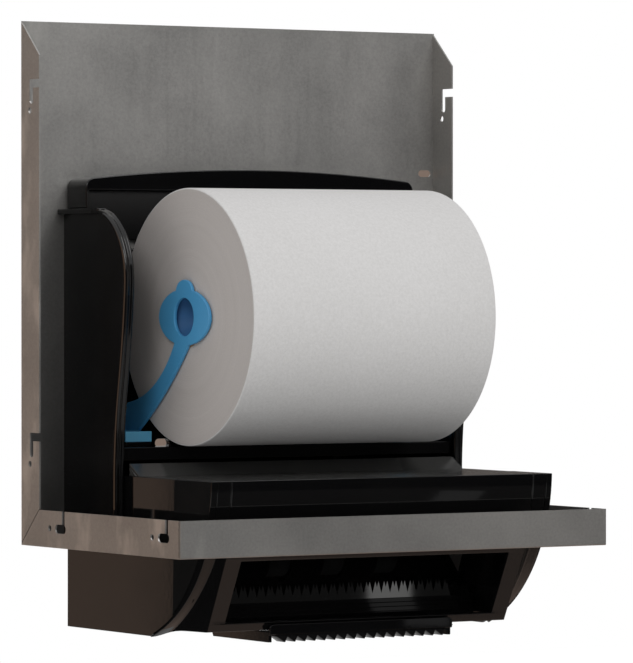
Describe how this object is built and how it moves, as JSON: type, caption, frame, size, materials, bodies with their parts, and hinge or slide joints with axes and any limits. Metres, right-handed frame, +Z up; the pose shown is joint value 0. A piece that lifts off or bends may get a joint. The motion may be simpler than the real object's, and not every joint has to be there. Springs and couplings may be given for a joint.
{
  "type": "paper towel dispenser",
  "caption": "Wall-mounted paper towel dispenser module: folded steel bracket, black chassis, roll on blue swing arms, feed lever, geared feed roller and toothed tear blade.",
  "frame": {"origin": "on the wall face of the bracket's back plate, in the middle of its lower edge, level with the tray's underside", "axes": "+X to the right seen from the front, +Y into the wall, +Z up"},
  "size_m": [0.352, 0.225, 0.437],
  "materials": {
    "satin_steel": "satin",
    "bright_steel": "satin",
    "spring_steel": "satin",
    "black_plastic": "gloss",
    "blue_plastic": "satin",
    "grey_plastic": "matte",
    "dark_nylon": "satin",
    "grip_rubber": "matte",
    "towel_paper": "matte",
    "core_board": "matte"
  },
  "bodies": {
    "chassis": {"wall_bracket": "satin_steel", "back_panel": "black_plastic", "left_side_plate": "black_plastic", "right_side_plate": "black_plastic", "roll_floor": "black_plastic", "left_cheek": "black_plastic", "right_cheek": "black_plastic", "housing_back": "black_plastic", "front_shell": "black_plastic", "deck_cover": "black_plastic", "left_arm_bracket": "blue_plastic", "right_arm_bracket": "blue_plastic", "left_arm_pin": "bright_steel", "right_arm_pin": "bright_steel", "left_arm_spring": "spring_steel", "right_arm_spring": "spring_steel", "feed_bushes": "dark_nylon", "lever_bushes": "dark_nylon", "pinch_brackets": "black_plastic", "pinch_springs": "spring_steel", "lever_spring": "spring_steel", "throat_guide": "black_plastic", "tear_blade": "bright_steel", "blade_clamp": "black_plastic", "lever_stops": "grip_rubber", "chassis_screws": "bright_steel", "housing_screws": "bright_steel", "blade_screws": "bright_steel"},
    "left_arm": {"left_roll_arm": "blue_plastic", "left_core_hub": "blue_plastic"},
    "right_arm": {"right_roll_arm": "blue_plastic", "right_core_hub": "blue_plastic"},
    "roll": {"towel_roll": "towel_paper", "roll_core": "core_board"},
    "feed_roller": {"feed_shaft": "bright_steel", "feed_drum": "grey_plastic", "feed_grips": "grip_rubber"},
    "pinch": {"pinch_roller": "grey_plastic", "pinch_axle": "bright_steel"},
    "pinion": {"drive_pinion": "dark_nylon"},
    "lever": {"feed_lever": "black_plastic", "lever_grip": "black_plastic", "lever_shaft": "bright_steel", "sector_gear": "dark_nylon"}
  },
  "joints": [
    {"name": "left_arm_swing", "type": "hinge", "parent": "chassis", "child": "left_arm", "pos_m": [-0.1045, -0.037, 0.0784], "axis": [0, -1, 0], "range_deg": [0, 12], "stiffness_Nm_per_rad": 0.6, "springref_deg": -14.32, "deforming": ["left_arm_spring"]},
    {"name": "right_arm_swing", "type": "hinge", "parent": "chassis", "child": "right_arm", "pos_m": [0.1045, -0.037, 0.0784], "axis": [0, 1, 0], "range_deg": [0, 12], "stiffness_Nm_per_rad": 0.6, "springref_deg": -14.32, "deforming": ["right_arm_spring"]},
    {"name": "roll_spin", "type": "hinge", "parent": "chassis", "child": "roll", "pos_m": [0, -0.106, 0.163], "axis": [1, 0, 0], "continuous": true},
    {"name": "feed_spin", "type": "hinge", "parent": "chassis", "child": "feed_roller", "pos_m": [0, -0.116, 0.02], "axis": [1, 0, 0], "continuous": true},
    {"name": "pinch_spin", "type": "hinge", "parent": "chassis", "child": "pinch", "pos_m": [0, -0.0887, 0.02], "axis": [1, 0, 0], "continuous": true},
    {"name": "lever_press", "type": "hinge", "parent": "chassis", "child": "lever", "pos_m": [0, -0.1, -0.04429], "axis": [1, 0, 0], "range_deg": [0, 28], "stiffness_Nm_per_rad": 0.8, "springref_deg": -17.19, "deforming": ["lever_spring"]},
    {"name": "pinion_spin", "type": "hinge", "parent": "chassis", "child": "pinion", "pos_m": [0, -0.116, 0.02], "axis": [1, 0, 0], "range_deg": [-190, 0]}
  ],
  "couplings": [
    {"joint": "pinch_spin", "follows": "feed_spin", "ratio": -2},
    {"joint": "pinion_spin", "follows": "lever_press", "ratio": -6.5714}
  ]
}
